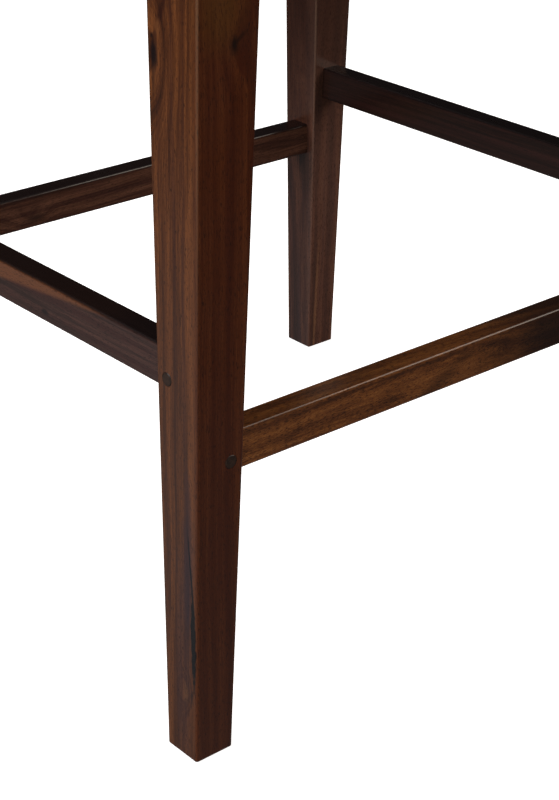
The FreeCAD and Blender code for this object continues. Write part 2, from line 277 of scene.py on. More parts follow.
def lacqueredWalnut(name, plan):
    # sawn, planed and satin lacquered: dark heartwood seen through a clear film, with soft rings,
    # long streaks and short open pores
    material, tree = newMaterial(name)
    place = addNode(tree, "ShaderNodeTexCoord").outputs["Object"]
    inMillimetres = addNode(tree, "ShaderNodeVectorMath", {"operation": "SCALE"}, {
        0: place, "Scale": 1000.0}).outputs[0]
    split = addNode(tree, "ShaderNodeSeparateXYZ", None, {0: inMillimetres}).outputs
    order = {"x": "YZX", "y": "ZXY", "z": "XYZ"}[plan["grain"]]
    turned = addNode(tree, "ShaderNodeCombineXYZ", None, {
        i: split[axis] for i, axis in enumerate(order)}).outputs[0]
    # millimetres from the heart of the tree, with the grain along Z
    wood = addNode(tree, "ShaderNodeMapping", None, {
        "Vector": turned, "Location": plan["heart"], "Rotation": plan["runOut"]}).outputs[0]

    def grainNoise(across, along, offset, detail, roughness):
        vector = addNode(tree, "ShaderNodeVectorMath", timesPlus, {
            0: wood, 1: (1 / across, 1 / across, 1 / along), 2: (offset, offset, offset)}).outputs[0]
        return addNode(tree, "ShaderNodeTexNoise", None, {
            "Vector": vector, "Scale": 1.0, "Detail": detail, "Roughness": roughness}).outputs

    def distanceFrom(mark):
        # millimetres from a knot, a stain, or a patch of painted shade and light, squeezed and turned as the
        # mark is
        size = [1 / share if share else walnut["anyLength"] for share in mark["squeeze"]]
        local = addNode(tree, "ShaderNodeMapping", {"vector_type": "TEXTURE"}, {
            "Vector": inMillimetres, "Location": mark["at"], "Rotation": mark.get("turn", (0, 0, 0)),
            "Scale": size}).outputs[0]
        return addNode(tree, "ShaderNodeVectorMath", {"operation": "LENGTH"}, {0: local}).outputs["Value"]

    noises = {layer: grainNoise(*sizes) for layer, sizes in walnut["noises"].items()}
    sway = addNode(tree, "ShaderNodeVectorMath", timesPlus, {
        0: noises["sway"]["Color"], 1: (plan["sway"], plan["sway"], 0), 2: wood}).outputs[0]
    flat = addNode(tree, "ShaderNodeVectorMath", times, {0: sway, 1: (1, 1, 0)}).outputs[0]
    radius = addNode(tree, "ShaderNodeVectorMath", {"operation": "LENGTH"}, {0: flat}).outputs["Value"]
    for knot in plan["knots"]:     # rings bend round each knot
        bend = addNode(tree, "ShaderNodeMapRange", smooth, {
            "Value": distanceFrom(knot), "From Max": knot["reach"], "To Min": knot["bend"],
            "To Max": 0.0}).outputs[0]
        radius = addNode(tree, "ShaderNodeMath", plus, {0: radius, 1: bend}).outputs[0]

    layers = {layer: noises[layer]["Fac"] for layer in ("streaks", "threads", "fibres")}
    for layer, width in walnut["rings"].items():
        count = addNode(tree, "ShaderNodeMath", {"operation": "DIVIDE"}, {
            0: radius, 1: plan["ringWidth"] * width}).outputs[0]
        layers[layer] = addNode(tree, "ShaderNodeTexNoise", {"noise_dimensions": "1D"}, {
            "W": count, "Scale": 1.0, "Detail": 1.0}).outputs[0]
    tone = 0.0
    for layer, share in walnut["shares"].items():
        tone = addNode(tree, "ShaderNodeMath", timesPlus, {0: layers[layer], 1: share, 2: tone}).outputs[0]
    low, high = walnut["toneRange"]
    tone = addNode(tree, "ShaderNodeMapRange", smooth, {
        "Value": tone, "From Min": low, "From Max": high}).outputs[0]
    colour = addNode(tree, "ShaderNodeValToRGB", {"stops": [
        (0.0, plan["dark"]), (1.0, plan["bright"]), (0.33, plan["deep"]), (0.66, plan["light"])]},
        {0: tone}).outputs[0]

    low, high = walnut["purpleRange"]
    purple = addNode(tree, "ShaderNodeMapRange", smooth, {
        "Value": noises["purple"]["Fac"], "From Min": low, "From Max": high,
        "To Max": plan["purple"]}).outputs[0]
    colour = addNode(tree, "ShaderNodeMix", {"data_type": "RGBA"}, {
        "Factor": purple, "A": colour, "B": linear(plan["purpleColour"])}).outputs["Result"]
    for mark in plan["stains"]:   # sapwood, smoky patches, bark pockets, and patches of painted shade and painted light
        rag = grainNoise(mark["rag"], mark["rag"] * 5, 3.3, 3.0, 0.5)["Fac"]
        ragged = addNode(tree, "ShaderNodeMath", timesPlus, {
            0: rag, 1: mark["ragged"], 2: -0.5 * mark["ragged"]}).outputs[0]
        edge = addNode(tree, "ShaderNodeMath", plus, {0: distanceFrom(mark), 1: ragged}).outputs[0]
        mask = addNode(tree, "ShaderNodeMapRange", smooth, {
            "Value": edge, "From Min": mark["core"], "From Max": mark["reach"],
            "To Min": mark["strength"], "To Max": 0.0}).outputs[0]
        colour = addNode(tree, "ShaderNodeMix", {"data_type": "RGBA"}, {
            "Factor": mask, "A": colour, "B": linear(mark["colour"])}).outputs["Result"]

    # pores gather in the lines of the rings
    crowd = addNode(tree, "ShaderNodeMath", timesPlus, {
        0: layers["lines"], 1: walnut["poreCrowding"], 2: noises["pores"]["Fac"]}).outputs[0]
    pores = addNode(tree, "ShaderNodeMapRange", smooth, {
        "Value": crowd, "From Min": plan["poreShare"],
        "From Max": plan["poreShare"] + walnut["poreSoftness"]}).outputs[0]
    shade = addNode(tree, "ShaderNodeMath", times, {0: pores, 1: plan["poreDepth"]}).outputs[0]
    colour = addNode(tree, "ShaderNodeMix", {"data_type": "RGBA"}, {
        "Factor": shade, "A": colour, "B": linear(walnut["poreColour"])}).outputs["Result"]
    relief = walnut["relief"]
    raised = addNode(tree, "ShaderNodeMath", times, {0: layers["fibres"], 1: relief["fibres"]}).outputs[0]
    height = addNode(tree, "ShaderNodeMath", timesPlus, {
        0: pores, 1: relief["pores"], 2: raised}).outputs[0]
    bump = addNode(tree, "ShaderNodeBump", None, {
        "Height": height, "Strength": relief["strength"], "Distance": relief["depth"] * millimetre})
    low, high = walnut["cloudRange"]
    smoother, rougher = walnut["roughness"]
    rough = addNode(tree, "ShaderNodeMapRange", smooth, {
        "Value": noises["cloud"]["Fac"], "From Min": low, "From Max": high,
        "To Min": smoother, "To Max": rougher}).outputs[0]
    shader = addNode(tree, "ShaderNodeBsdfPrincipled", None, {
        "Base Color": colour, "Roughness": rough, "Specular IOR Level": 0.08, "IOR": 1.5,
        "Coat Weight": 0.75, "Coat Roughness": 0.17, "Coat IOR": 1.5, "Normal": bump.outputs[0]})
    finishMaterial(tree, shader)
    return material


# what every board starts from: lengths in mm, heart is where the middle of the tree lies
redWalnut = {
    "grain": "z", "heart": (38, 52, 0), "runOut": (0.01, 0.008, 0), "sway": 15, "ringWidth": 3.4,
    "dark": "#2e170d", "deep": "#482613", "light": "#61371c", "bright": "#784726",
    "purple": 0.4, "purpleColour": "#361c19", "poreShare": 0.64, "poreDepth": 0.62,
    "knots": (), "stains": (),
}


def board(**changes):
    return {**redWalnut, **changes}


# a stain of the wood; the same patch also lays painted shade and painted light
def stain(at, squeeze, colour, strength, core, reach, rag, ragged, turn=(0, 0, 0)):
    # full within core and gone at reach, both mm from at along an axis whose squeeze is 1; its edge is
    # ragged by so many mm, in steps of rag; turn leans it, in radians
    return {"at": at, "squeeze": squeeze, "colour": colour, "strength": strength, "core": core,
            "reach": reach, "rag": rag, "ragged": ragged, "turn": turn}


def paintedShadeTop(height):
    # painted shade: a rail's top face, at a height in mm, is laid near black, fading over the top 2 mm of
    # its sides
    return stain((0, 0, height + 2), (0, 0, 1), "#0f0505", 0.96, 2.2, 4.0, 8.0, 1.0)


legFront = board(
    heart=(290, 226, 0), sway=13,
    knots=[
        {"at": (-230, -171, 414), "squeeze": (1, 1, 0.5), "reach": 26, "bend": 15},
        {"at": (-206, -207, 422), "squeeze": (1, 1, 0.6), "reach": 20, "bend": 9},
        {"at": (-230, -197, 44), "squeeze": (1, 1, 0.45), "reach": 9, "bend": 7},
    ],
    stains=[
        # redder front face, olive gold over its top
        stain((-207, -208, 250), (0.1, 1, 0.0), "#461a06", 0.62, 2.0, 5.0, 5.0, 1.5),
        stain((-214, -207, 446), (0.6, 1, 0.34), "#5a3a14", 0.5, 3.0, 13.0, 6.0, 5.0),
        # reddish streak that runs down past the knot, and the pale patch inside it
        stain((-230, -178, 436), (0.2, 1, 0.08), "#2c110b", 0.8, 0.8, 3.2, 3.0, 2.0, turn=(0.34, 0, 0)),
        stain((-230, -175.5, 428), (0.2, 1, 0.5), "#8a5630", 0.4, 0.6, 3.2, 2.0, 2.0),
        stain((-230, -172.5, 414), (0.6, 0.9, 0.3), "#120b0e", 0.95, 0.9, 3.4, 1.6, 2.2),
        stain((-230, -170.8, 423), (0.6, 1, 0.8), "#170c0c", 0.9, 0.4, 1.8, 1.2, 1.0),
        stain((-230, -172, 404), (0.6, 1, 0.12), "#1c100f", 0.6, 0.4, 2.2, 2.0, 1.4),
        # smoky knot with its wisp
        stain((-206, -207, 421.5), (1, 0.4, 0.5), "#150906", 0.85, 0.4, 4.2, 2.0, 2.6),
        stain((-202, -207, 425), (1, 0.4, 0.24), "#1c0d08", 0.6, 0.3, 2.2, 2.0, 1.6, turn=(0, 1.0, 0)),
        # smoky purple beside the bark pocket, and the pocket itself
        stain((-230, -199.5, 130), (0.3, 0.9, 0.09), "#2b1e28", 0.62, 1.5, 6.0, 4.0, 4.0),
        stain((-230, -195, 60), (0.3, 0.5, 0.05), "#33242b", 0.4, 1.5, 5.0, 4.0, 4.0),
        stain((-230, -202, 122), (0.5, 0.8, 0.024), "#0b0a12", 0.95, 0.4, 0.8, 1.4, 0.5,
              turn=(-0.115, 0, 0)),
        stain((-230, -204.0, 80), (0.5, 0.75, 0.05), "#040408", 1.0, 1.1, 1.9, 1.0, 1.8,
              turn=(-0.03, 0, 0)),
        stain((-230, -197, 43), (0.3, 1, 0.4), "#7d5334", 0.3, 0.5, 3.6, 2.0, 2.4),
        stain((-230, -203, 43), (0.3, 1, 0.3), "#1d1214", 0.6, 0.3, 1.6, 1.4, 1.2),
    ],
)

boards = {
    "leg_front_left": legFront,
    "leg_front_right": board(heart=(-170, 240, 70), bright="#73492f"),
    "leg_back_left": board(heart=(260, -150, 210), bright="#6e4630"),
    "leg_back_right": board(
        heart=(-120, -175, 350), dark="#2b1612", deep="#40231b", light="#583527", bright="#6b4535",
        purple=0.6, purpleColour="#3a2423",
        stains=[
            # painted light: this lightens and greys the leg's front face, a painted sheen on that side
            stain((205, 165, 150), (0.1, 1, 0.0), "#7a5a4e", 0.45, 6.0, 22.0, 5.0, 5.0),
            stain((205, 170, 420), (0.02, 0.02, 0.012), "#30180e", 0.72, 1.2, 3.6, 30.0, 0.6),
            stain((209, 181, 120), (1, 0.5, 0.012), "#94694a", 0.6, 0.8, 2.6, 3.0, 1.5)]),
    "footrest_front": board(
        grain="x", heart=(242, -150, 0), runOut=(0.05, 0.11, 0), ringWidth=4.2, sway=22,
        dark="#381e0f", deep="#5a3318", light="#7a4a24", bright="#915d33", purple=0.15, poreDepth=0.75,
        poreShare=0.6,
        stains=[
            stain((88, -192, 186), (0.36, 0.4, 0.6), "#1c0f0c", 0.9, 8.0, 51.0, 9.0, 24.0,
                  turn=(0, -0.35, 0)),
            stain((-45, -200, 176), (0.11, 0.5, 0.8), "#24130b", 0.6, 1.0, 7.0, 5.0, 6.0,
                  turn=(0, -0.5, 0))]),
    "rail_back": board(
        grain="x", heart=(-150, -160, 400), dark="#2b1711", deep="#41261d", light="#593a2c",
        bright="#6b4738", purple=0.5,
        knots=[{"at": (-74, 181.5, 183), "squeeze": (0.5, 0.6, 1), "reach": 14, "bend": 9}],
        stains=[
            stain((-68, 181.5, 182), (0.33, 0.5, 1), "#150b0c", 0.7, 0.8, 4.0, 3.0, 3.0),
            # painted shade on the rail's top face
            paintedShadeTop(200)]),
    "rail_left": board(
        grain="y", heart=(-200, 270, 120), dark="#1f100d", deep="#33201c", light="#472d27", bright="#583a32",
        purple=0.8,
        stains=[
            stain((-221.5, 50, 250), (0, 0, 1), "#6f4329", 0.75, 17.5, 21.0, 8.0, 3.0,
                  turn=(-0.098, 0, 0)),
            stain((-221.5, -54, 229), (0.5, 0.45, 1), "#140b0c", 0.8, 0.6, 2.4, 2.0, 1.5),
            # painted shade on the rail's top face
            paintedShadeTop(247.5)]),
    # painted shade: this rail's tones are about four times darker than the other boards', and its top is
    # laid near black
    "rail_right": board(grain="y", heart=(-180, -250, 900), dark="#140907", deep="#1e0f0b", light="#2a1611",
                        bright="#372018", purple=0.5, stains=[paintedShadeTop(247.5)]),
    "apron_front": board(grain="x", heart=(245, -530, 40)),
    "apron_back": board(grain="x", heart=(-160, -520, 640)),
    "apron_left": board(grain="y", heart=(-530, 250, 330)),
    "apron_right": board(grain="y", heart=(-540, -160, 750)),
}


def pegEndGrain(name):
    # dark hardwood cut across the grain and lacquered: dull, with fine round vessels
    material, tree = newMaterial(name)
    place = addNode(tree, "ShaderNodeTexCoord").outputs["Object"]
    # vessels 0.4 mm apart, over clouds of 2.4 mm
    cells = addNode(tree, "ShaderNodeTexVoronoi", None, {
        "Vector": place, "Scale": 2600.0}).outputs["Distance"]
    cloud = addNode(tree, "ShaderNodeTexNoise", None, {
        "Vector": place, "Scale": 420.0, "Detail": 3.0}).outputs[0]
    tone = addNode(tree, "ShaderNodeMath", timesPlus, {0: cells, 1: 0.5, 2: cloud}).outputs[0]
    colour = addNode(tree, "ShaderNodeValToRGB", {
        "stops": [(0.35, "#150d0a"), (0.95, "#35241b"), (0.62, "#221610")]}, {0: tone}).outputs[0]
    bump = addNode(tree, "ShaderNodeBump", None, {
        "Height": cells, "Strength": 0.3, "Distance": 0.1 * millimetre})
    shader = addNode(tree, "ShaderNodeBsdfPrincipled", None, {
        "Base Color": colour, "Roughness": 0.5, "Specular IOR Level": 0.25, "Coat Weight": 0.25,
        "Coat Roughness": 0.3, "Normal": bump.outputs[0]})
    finishMaterial(tree, shader)
    return material


def barePoplar(name):
    # poplar off the saw and left bare: pale, streaked and a little furry
    material, tree = newMaterial(name)
    place = addNode(tree, "ShaderNodeTexCoord").outputs["Object"]
    # streaks 5 mm wide and saw marks 0.9 mm apart, drawn out 30 times along the grain
    grain = addNode(tree, "ShaderNodeMapping", None, {
        "Vector": place, "Rotation": (0, 0, math.radians(45)), "Scale": (900, 30, 900)}).outputs[0]
    streak = addNode(tree, "ShaderNodeTexNoise", None, {
        "Vector": grain, "Scale": 0.22, "Detail": 4.0}).outputs[0]
    saw = addNode(tree, "ShaderNodeTexNoise", None, {
        "Vector": grain, "Scale": 1.3, "Detail": 2.0}).outputs[0]
    colour = addNode(tree, "ShaderNodeValToRGB", {
        "stops": [(0.3, "#9c8658"), (0.7, "#d8c394"), (0.52, "#c4ab79")]}, {0: streak}).outputs[0]
    bump = addNode(tree, "ShaderNodeBump", None, {
        "Height": saw, "Strength": 0.5, "Distance": 0.2 * millimetre})
    shader = addNode(tree, "ShaderNodeBsdfPrincipled", None, {
        "Base Color": colour, "Roughness": 0.72, "Specular IOR Level": 0.3, "Normal": bump.outputs[0]})
    finishMaterial(tree, shader)
    return material


def birchPlywood(name):
    # peeled birch, glued and sanded: plies of 1.5 mm, light and dark in turn
    material, tree = newMaterial(name)
    place = addNode(tree, "ShaderNodeTexCoord").outputs["Object"]
    height = addNode(tree, "ShaderNodeSeparateXYZ", None, {0: place}).outputs["Z"]
    turns = addNode(tree, "ShaderNodeMath", times, {
        0: height, 1: math.pi / (1.5 * millimetre)}).outputs[0]
    ply = addNode(tree, "ShaderNodeMath", {"operation": "SINE"}, {0: turns}).outputs[0]
    face = addNode(tree, "ShaderNodeTexNoise", None, {
        "Vector": place, "Scale": 60.0, "Detail": 4.0}).outputs[0]
    tone = addNode(tree, "ShaderNodeMath", timesPlus, {0: ply, 1: 0.2, 2: face}).outputs[0]
    colour = addNode(tree, "ShaderNodeValToRGB", {
        "stops": [(0.3, "#a07a4c"), (0.75, "#dcc191")]}, {0: tone}).outputs[0]
    shader = addNode(tree, "ShaderNodeBsdfPrincipled", None, {"Base Color": colour, "Roughness": 0.65})
    finishMaterial(tree, shader)
    return material


def platedSteel(name, tint, roughness):
    # steel, zinc plated or galvanised: soft shine, clouded about every millimetre
    material, tree = newMaterial(name)
    place = addNode(tree, "ShaderNodeTexCoord").outputs["Object"]
    cloud = addNode(tree, "ShaderNodeTexNoise", None, {
        "Vector": place, "Scale": 900.0, "Detail": 3.0}).outputs[0]
    colour = addNode(tree, "ShaderNodeValToRGB", {
        "stops": [(0.3, "#6f6b62"), (0.7, tint)]}, {0: cloud}).outputs[0]
    rough = addNode(tree, "ShaderNodeMapRange", None, {
        "Value": cloud, "To Min": roughness - 0.08, "To Max": roughness + 0.12}).outputs[0]
    shader = addNode(tree, "ShaderNodeBsdfPrincipled", None, {
        "Base Color": colour, "Metallic": 1.0, "Roughness": rough})
    finishMaterial(tree, shader)
    return material


leather = {
    "dark": "#26160e", "mid": "#311d13", "worn": "#3e2518",
    "pebble": 1.3,      # mm across one pebble of the grain
    "crease": 9.0,      # mm between creases
    "creaseWidth": 0.07,
    "roughness": (0.46, 0.66),
    "relief": 0.3,      # mm
}


def drumDyedLeather(name, plan):
    # cowhide, drum dyed and finished semi-matt: pebbled grain with fine creases
    material, tree = newMaterial(name)
    place = addNode(tree, "ShaderNodeTexCoord").outputs["Object"]
    inMillimetres = addNode(tree, "ShaderNodeVectorMath", {"operation": "SCALE"}, {
        0: place, "Scale": 1000.0}).outputs[0]
    wander = addNode(tree, "ShaderNodeTexNoise", None, {
        "Vector": inMillimetres, "Scale": 0.35, "Detail": 2.0}).outputs["Color"]
    shifted = addNode(tree, "ShaderNodeVectorMath", timesPlus, {
        0: wander, 1: (1.6, 1.6, 1.6), 2: inMillimetres}).outputs[0]
    pebbles = addNode(tree, "ShaderNodeTexVoronoi", {"feature": "F1"}, {
        "Vector": shifted, "Scale": 1 / plan["pebble"]}).outputs["Distance"]
    folds = addNode(tree, "ShaderNodeTexVoronoi", {"feature": "DISTANCE_TO_EDGE"}, {
        "Vector": shifted, "Scale": 1 / plan["crease"]}).outputs["Distance"]
    smoothSkin = addNode(tree, "ShaderNodeMapRange", smooth, {
        "Value": folds, "From Max": plan["creaseWidth"]}).outputs[0]
    cloud = addNode(tree, "ShaderNodeTexNoise", None, {
        "Vector": inMillimetres, "Scale": 0.02, "Detail": 4.0, "Roughness": 0.6}).outputs[0]
    tone = addNode(tree, "ShaderNodeMath", timesPlus, {0: pebbles, 1: -0.28, 2: cloud}).outputs[0]
    colour = addNode(tree, "ShaderNodeValToRGB", {"stops": [
        (0.12, plan["dark"]), (0.62, plan["worn"]), (0.36, plan["mid"])]}, {0: tone}).outputs[0]
    grain = addNode(tree, "ShaderNodeMath", times, {0: pebbles, 1: -0.7}).outputs[0]
    height = addNode(tree, "ShaderNodeMath", timesPlus, {0: smoothSkin, 1: 0.35, 2: grain}).outputs[0]
    bump = addNode(tree, "ShaderNodeBump", None, {
        "Height": height, "Strength": 0.42, "Distance": plan["relief"] * millimetre})
    shiny, dull = plan["roughness"]
    rough = addNode(tree, "ShaderNodeMapRange", None, {
        "Value": pebbles, "To Min": shiny, "To Max": dull}).outputs[0]
    shader = addNode(tree, "ShaderNodeBsdfPrincipled", None, {
        "Base Color": colour, "Roughness": rough, "Specular IOR Level": 0.3, "Normal": bump.outputs[0]})
    finishMaterial(tree, shader)
    return material


def bondedThread(name):
    # bonded polyester, twisted every half millimetre: satin, a little paler than the hide
    material, tree = newMaterial(name)
    place = addNode(tree, "ShaderNodeTexCoord").outputs["Object"]
    twist = addNode(tree, "ShaderNodeTexNoise", None, {
        "Vector": place, "Scale": 2200.0, "Detail": 2.0}).outputs[0]
    colour = addNode(tree, "ShaderNodeValToRGB", {
        "stops": [(0.3, "#3d2a1f"), (0.7, "#6b4c38")]}, {0: twist}).outputs[0]
    shader = addNode(tree, "ShaderNodeBsdfPrincipled", None, {
        "Base Color": colour, "Roughness": 0.55, "Sheen Weight": 0.3})
    finishMaterial(tree, shader)
    return material


def spunBondedCloth(name):
    # spun-bonded polypropylene: black felt of fine fibres, spot welded every 1.6 mm
    material, tree = newMaterial(name)
    place = addNode(tree, "ShaderNodeTexCoord").outputs["Object"]
    welds = addNode(tree, "ShaderNodeTexVoronoi", {"feature": "F1"}, {
        "Vector": place, "Scale": 620.0, "Randomness": 0.12}).outputs["Distance"]
    fibres = addNode(tree, "ShaderNodeTexNoise", None, {
        "Vector": place, "Scale": 1500.0, "Detail": 3.0, "Distortion": 2.0}).outputs[0]
    height = addNode(tree, "ShaderNodeMath", timesPlus, {0: welds, 1: 1.2, 2: fibres}).outputs[0]
    colour = addNode(tree, "ShaderNodeValToRGB", {
        "stops": [(0.4, "#0f0f10"), (1.0, "#2c2c2e")]}, {0: height}).outputs[0]
    bump = addNode(tree, "ShaderNodeBump", None, {
        "Height": height, "Strength": 0.5, "Distance": 0.2 * millimetre})
    shader = addNode(tree, "ShaderNodeBsdfPrincipled", None, {
        "Base Color": colour, "Roughness": 0.85, "Sheen Weight": 0.25, "Normal": bump.outputs[0]})
    finishMaterial(tree, shader)
    return material


seat = {
    "cover": [Vector(corner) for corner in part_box("seat_cover")],
    "welt": [Vector(corner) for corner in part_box("seat_welt")],
    "cornerRadius": 0.024,
    "slack": 0.0035,        # the form starts this much inside its finished outline
    "edgeRoll": 0.012,      # the top panel turns over the foam's edge within this width
    "roll": (3.6, 0.42),    # how late and how steeply the crown falls to the sides
    "formSteps": (2, 4, 6, 9, 13, 18, 24, 32, 42, 55, 70, 90, 115, 145, 170),   # mm in from the seam
    "around": 240,          # points round the form
    "voxel": 0.004,
    "grip": 0.009,          # the seam holds the cloth out to here
    "cloth": {
        "quality": 5,
        "mass": 0.4,
        "tension_stiffness": 20,
        "compression_stiffness": 12,
        "bending_stiffness": 1.2,
        "use_pressure": True,
        "uniform_pressure_force": 4.0,
        "vertex_group_mass": "held",
    },
    "frames": 20,
    "cap": 0.006,           # the furthest that a point may move
    "rise": 0.0025,         # foam stands this much above the plain solid's top
    "seamInset": 0.0042,    # how far the seam is drawn in behind the welt
    "board": 0.014,         # height up to which the board keeps the side straight
    "wall": 0.008,          # depth and height of what counts as the side
    "hem": 0.004,           # the same for the tight lower edge
    "crease": 0.0004,
    "seed": 7,
}
seat["seamHeight"] = (seat["welt"][0].z + seat["welt"][1].z) / 2
seat["weltRadius"] = (seat["welt"][1].z - seat["welt"][0].z) / 2


def roundedOutline(halfX, halfY, radius, count):
    # points spaced evenly along a rounded rectangle, with the outward normal of each
    straightX = 2 * (halfX - radius)
    straightY = 2 * (halfY - radius)
    quarter = math.pi * radius / 2
    length = 2 * (straightX + straightY) + 4 * quarter
    sides = [(straightY, halfX, (1, 1)), (straightX, halfY, (-1, 1)),
             (straightY, halfX, (-1, -1)), (straightX, halfY, (1, -1))]
    points = []
    for index in range(count):
        along = length * index / count
        for turn, (straight, half, (cornerX, cornerY)) in enumerate(sides):
            angle = turn * math.pi / 2
            outward = Vector((math.cos(angle), math.sin(angle)))
            if along <= straight:
                run = Vector((-outward.y, outward.x))
                points.append((outward * half + run * (along - straight / 2), outward))
                break
            along -= straight
            if along <= quarter:
                angle += along / radius
                outward = Vector((math.cos(angle), math.sin(angle)))
                centre = Vector((cornerX * (halfX - radius), cornerY * (halfY - radius)))
                points.append((centre + outward * radius, outward))
                break
            along -= quarter
    return points


def loftRings(name, rings, material, caps=True):
    # rings of equal point counts, joined in turn
    count = len(rings[0])
    vertices = [point for ring in rings for point in ring]
    faces = []
    for level in range(len(rings) - 1):
        for i in range(count):
            j = (i + 1) % count
            near, far = level * count, (level + 1) * count
            faces.append((near + i, near + j, far + j, far + i))
    if caps:
        faces.append(tuple(range(count)))
        last = (len(rings) - 1) * count
        faces.append(tuple(last + i for i in range(count)))
    return meshPiece(name, vertices, faces, material)


def seatHalf(inset):
    # half width, half depth and corner radius of the seat's outline, drawn in by inset
    low, high = seat["cover"]
    return (high.x - low.x) / 2 - inset, (high.y - low.y) / 2 - inset, seat["cornerRadius"] - inset


def pillow(point, inset):
    # share of the crown's height: rolls off smoothly towards each side and falls to the seam
    high = seat["cover"][1]
    late, steep = seat["roll"]
    roll = 1.0
    for along, half in ((point.x, high.x), (point.y, high.y)):
        roll *= max(0.0, 1 - abs(along / half) ** late) ** steep
    edge = 1 - min(1.0, inset / seat["edgeRoll"])
    return roll * math.sqrt(max(0.0, 1 - edge * edge))


def seatForm(material):
    low, high = seat["cover"]
    seam = seat["seamHeight"]
    slack = seat["slack"]
    count = seat["around"]
    crown = high.z - 0.5 * slack - seam
    topInset = slack + 0.0015
    sides = [       # inset from the outline, height
        (0.0015, low.z), (0.0004, low.z + 0.001), (0.0004, low.z + 0.005), (0.0004, low.z + 0.016),
        (slack * 0.6, (low.z + seam) / 2), (slack, seam - 0.004), (topInset, seam)]
    rings = []
    for inset, z in sides:
        halfX, halfY, radius = seatHalf(inset)
        rings.append([(p.x, p.y, z) for p, outward in roundedOutline(halfX, halfY, radius, count)])
    for run in seat["formSteps"]:
        inset = run * millimetre
        halfX, halfY, radius = seatHalf(topInset + inset)
        ring = roundedOutline(halfX, halfY, max(radius, 0.014), count)
        rings.append([(p.x, p.y, seam + crown * pillow(p, inset)) for p, outward in ring])
    return loftRings("seat_cushion", rings, material)


def outlineDepth(point):
    # how far inside the seat's outline a point is, and the way out
    halfX, halfY, corner = seatHalf(0)
    qx, qy = abs(point.x) - (halfX - corner), abs(point.y) - (halfY - corner)
    if qx > 0 and qy > 0:
        away = Vector((math.copysign(qx, point.x), math.copysign(qy, point.y)))
        return corner - away.length, away.normalized()
    if qx > qy:
        return corner - qx, Vector((math.copysign(1, point.x), 0))
    return corner - qy, Vector((0, math.copysign(1, point.y)))


def seamDistance(point):
    # distance from the seam that runs round the seat, in its own cross-section
    return math.hypot(outlineDepth(point)[0] - seat["slack"], point.z - seat["seamHeight"])


def inflate(piece):
    # cloth under pressure, held along the seam and under the seat
    remesh = piece.modifiers.new("remesh", "REMESH")
    remesh.mode = "VOXEL"
    remesh.voxel_size = seat["voxel"]
    applyModifiers(piece)
    start = [v.co.copy() for v in piece.data.vertices]
    held = piece.vertex_groups.new(name="held")
    for v in piece.data.vertices:
        grip = max(0.0, 1 - seamDistance(v.co) / seat["grip"])
        if v.co.z < seat["cover"][0].z + seat["hem"]:
            grip = 1.0
        held.add([v.index], grip, "REPLACE")
    cloth = piece.modifiers.new("cloth", "CLOTH")
    for key, value in seat["cloth"].items():
        setattr(cloth.settings, key, value)
    cloth.settings.effector_weights.gravity = 0
    cloth.collision_settings.use_collision = False
    cloth.point_cache.frame_start = 1
    cloth.point_cache.frame_end = seat["frames"]
    for step in range(1, seat["frames"] + 1):
        scene.frame_set(step)
    applyModifiers(piece)
    # the furthest point keeps to the cap and the rest in proportion, which leaves one smooth dome
    moves = [v.co - before for v, before in zip(piece.data.vertices, start)]
    longest = max(move.length for move in moves)
    for v, before, move in zip(piece.data.vertices, start, moves):
        share = (move.length / longest) ** 0.75
        v.co = before + move.normalized() * min(seat["cap"] * share, move.length)
    scene.frame_set(1)
    # the whole crown is lowered in proportion, so that it keeps its dome
    seam = seat["seamHeight"]
    crown = max(v.co.z for v in piece.data.vertices) - seam
    room = min(crown, seat["cover"][1].z + seat["rise"] - seam)
    for v in piece.data.vertices:
        if v.co.z > seam:
            v.co.z = seam + (v.co.z - seam) * room / crown
    print("crown before and after", round(crown, 4), round(room, 4))


def pullIn(piece):
    # leather pulled square round the board, a seam drawn in under the welt, soft creases at the corners
    low, high = seat["cover"]
    seam = seat["seamHeight"]
    wallDepth = seat["wall"]
    halfX, halfY = seatHalf(0)[:2]
    normals = [n.vector.copy() for n in piece.data.vertex_normals]
    for v, normal in zip(piece.data.vertices, normals):
        depth, outward = outlineDepth(v.co)
        height = v.co.z - low.z
        rise = v.co.z - seam
        if rise > 0.004:
            # creases fan out from each corner within 60 mm, and the hide is never quite flat
            corner = Vector((abs(v.co.x) - (halfX - 0.03), abs(v.co.y) - (halfY - 0.03)))
            reach = max(0.0, 1 - corner.length / 0.06)
            sway = noise.noise(Vector((v.co.x * 30, v.co.y * 30, seat["seed"])))
            fan = math.sin(math.atan2(corner.y, corner.x) * 9 + 4 * sway)
            soft = noise.noise(Vector((v.co.x * 11, v.co.y * 11, seat["seed"] * 3)))
            v.co += normal * (seat["crease"] * reach * reach * fan + 0.0008 * soft)
        if depth < wallDepth and rise < wallDepth:
            # the side wall, drawn to the seam at its top and to the board's edge at its foot
            share = max(0.0, min(1.0, (height - seat["board"]) / (seam - low.z - seat["board"])))
            ripple = noise.noise(Vector((v.co.x * 26, v.co.y * 26, v.co.z * 9 + seat["seed"])))
            inset = 0.0003 + seat["seamInset"] * share ** 3 - 0.0012 * ripple * math.sin(math.pi * share)
            grip = min(1.0, max(0.0, (wallDepth - rise) / wallDepth))
            move = (depth - max(inset, 0.0002)) * grip
            v.co.x += outward.x * move
            v.co.y += outward.y * move
        if height < seat["hem"] and depth < seat["hem"]:
            # tight lower edge: whichever of the side and the underside is nearer
            depth, outward = outlineDepth(v.co)
            if depth > height:
                v.co.z = low.z
            else:
                v.co.x += outward.x * (depth - 0.0003)
                v.co.y += outward.y * (depth - 0.0003)
        v.co.x = max(low.x, min(high.x, v.co.x))
        v.co.y = max(low.y, min(high.y, v.co.y))
        v.co.z = max(low.z, v.co.z)


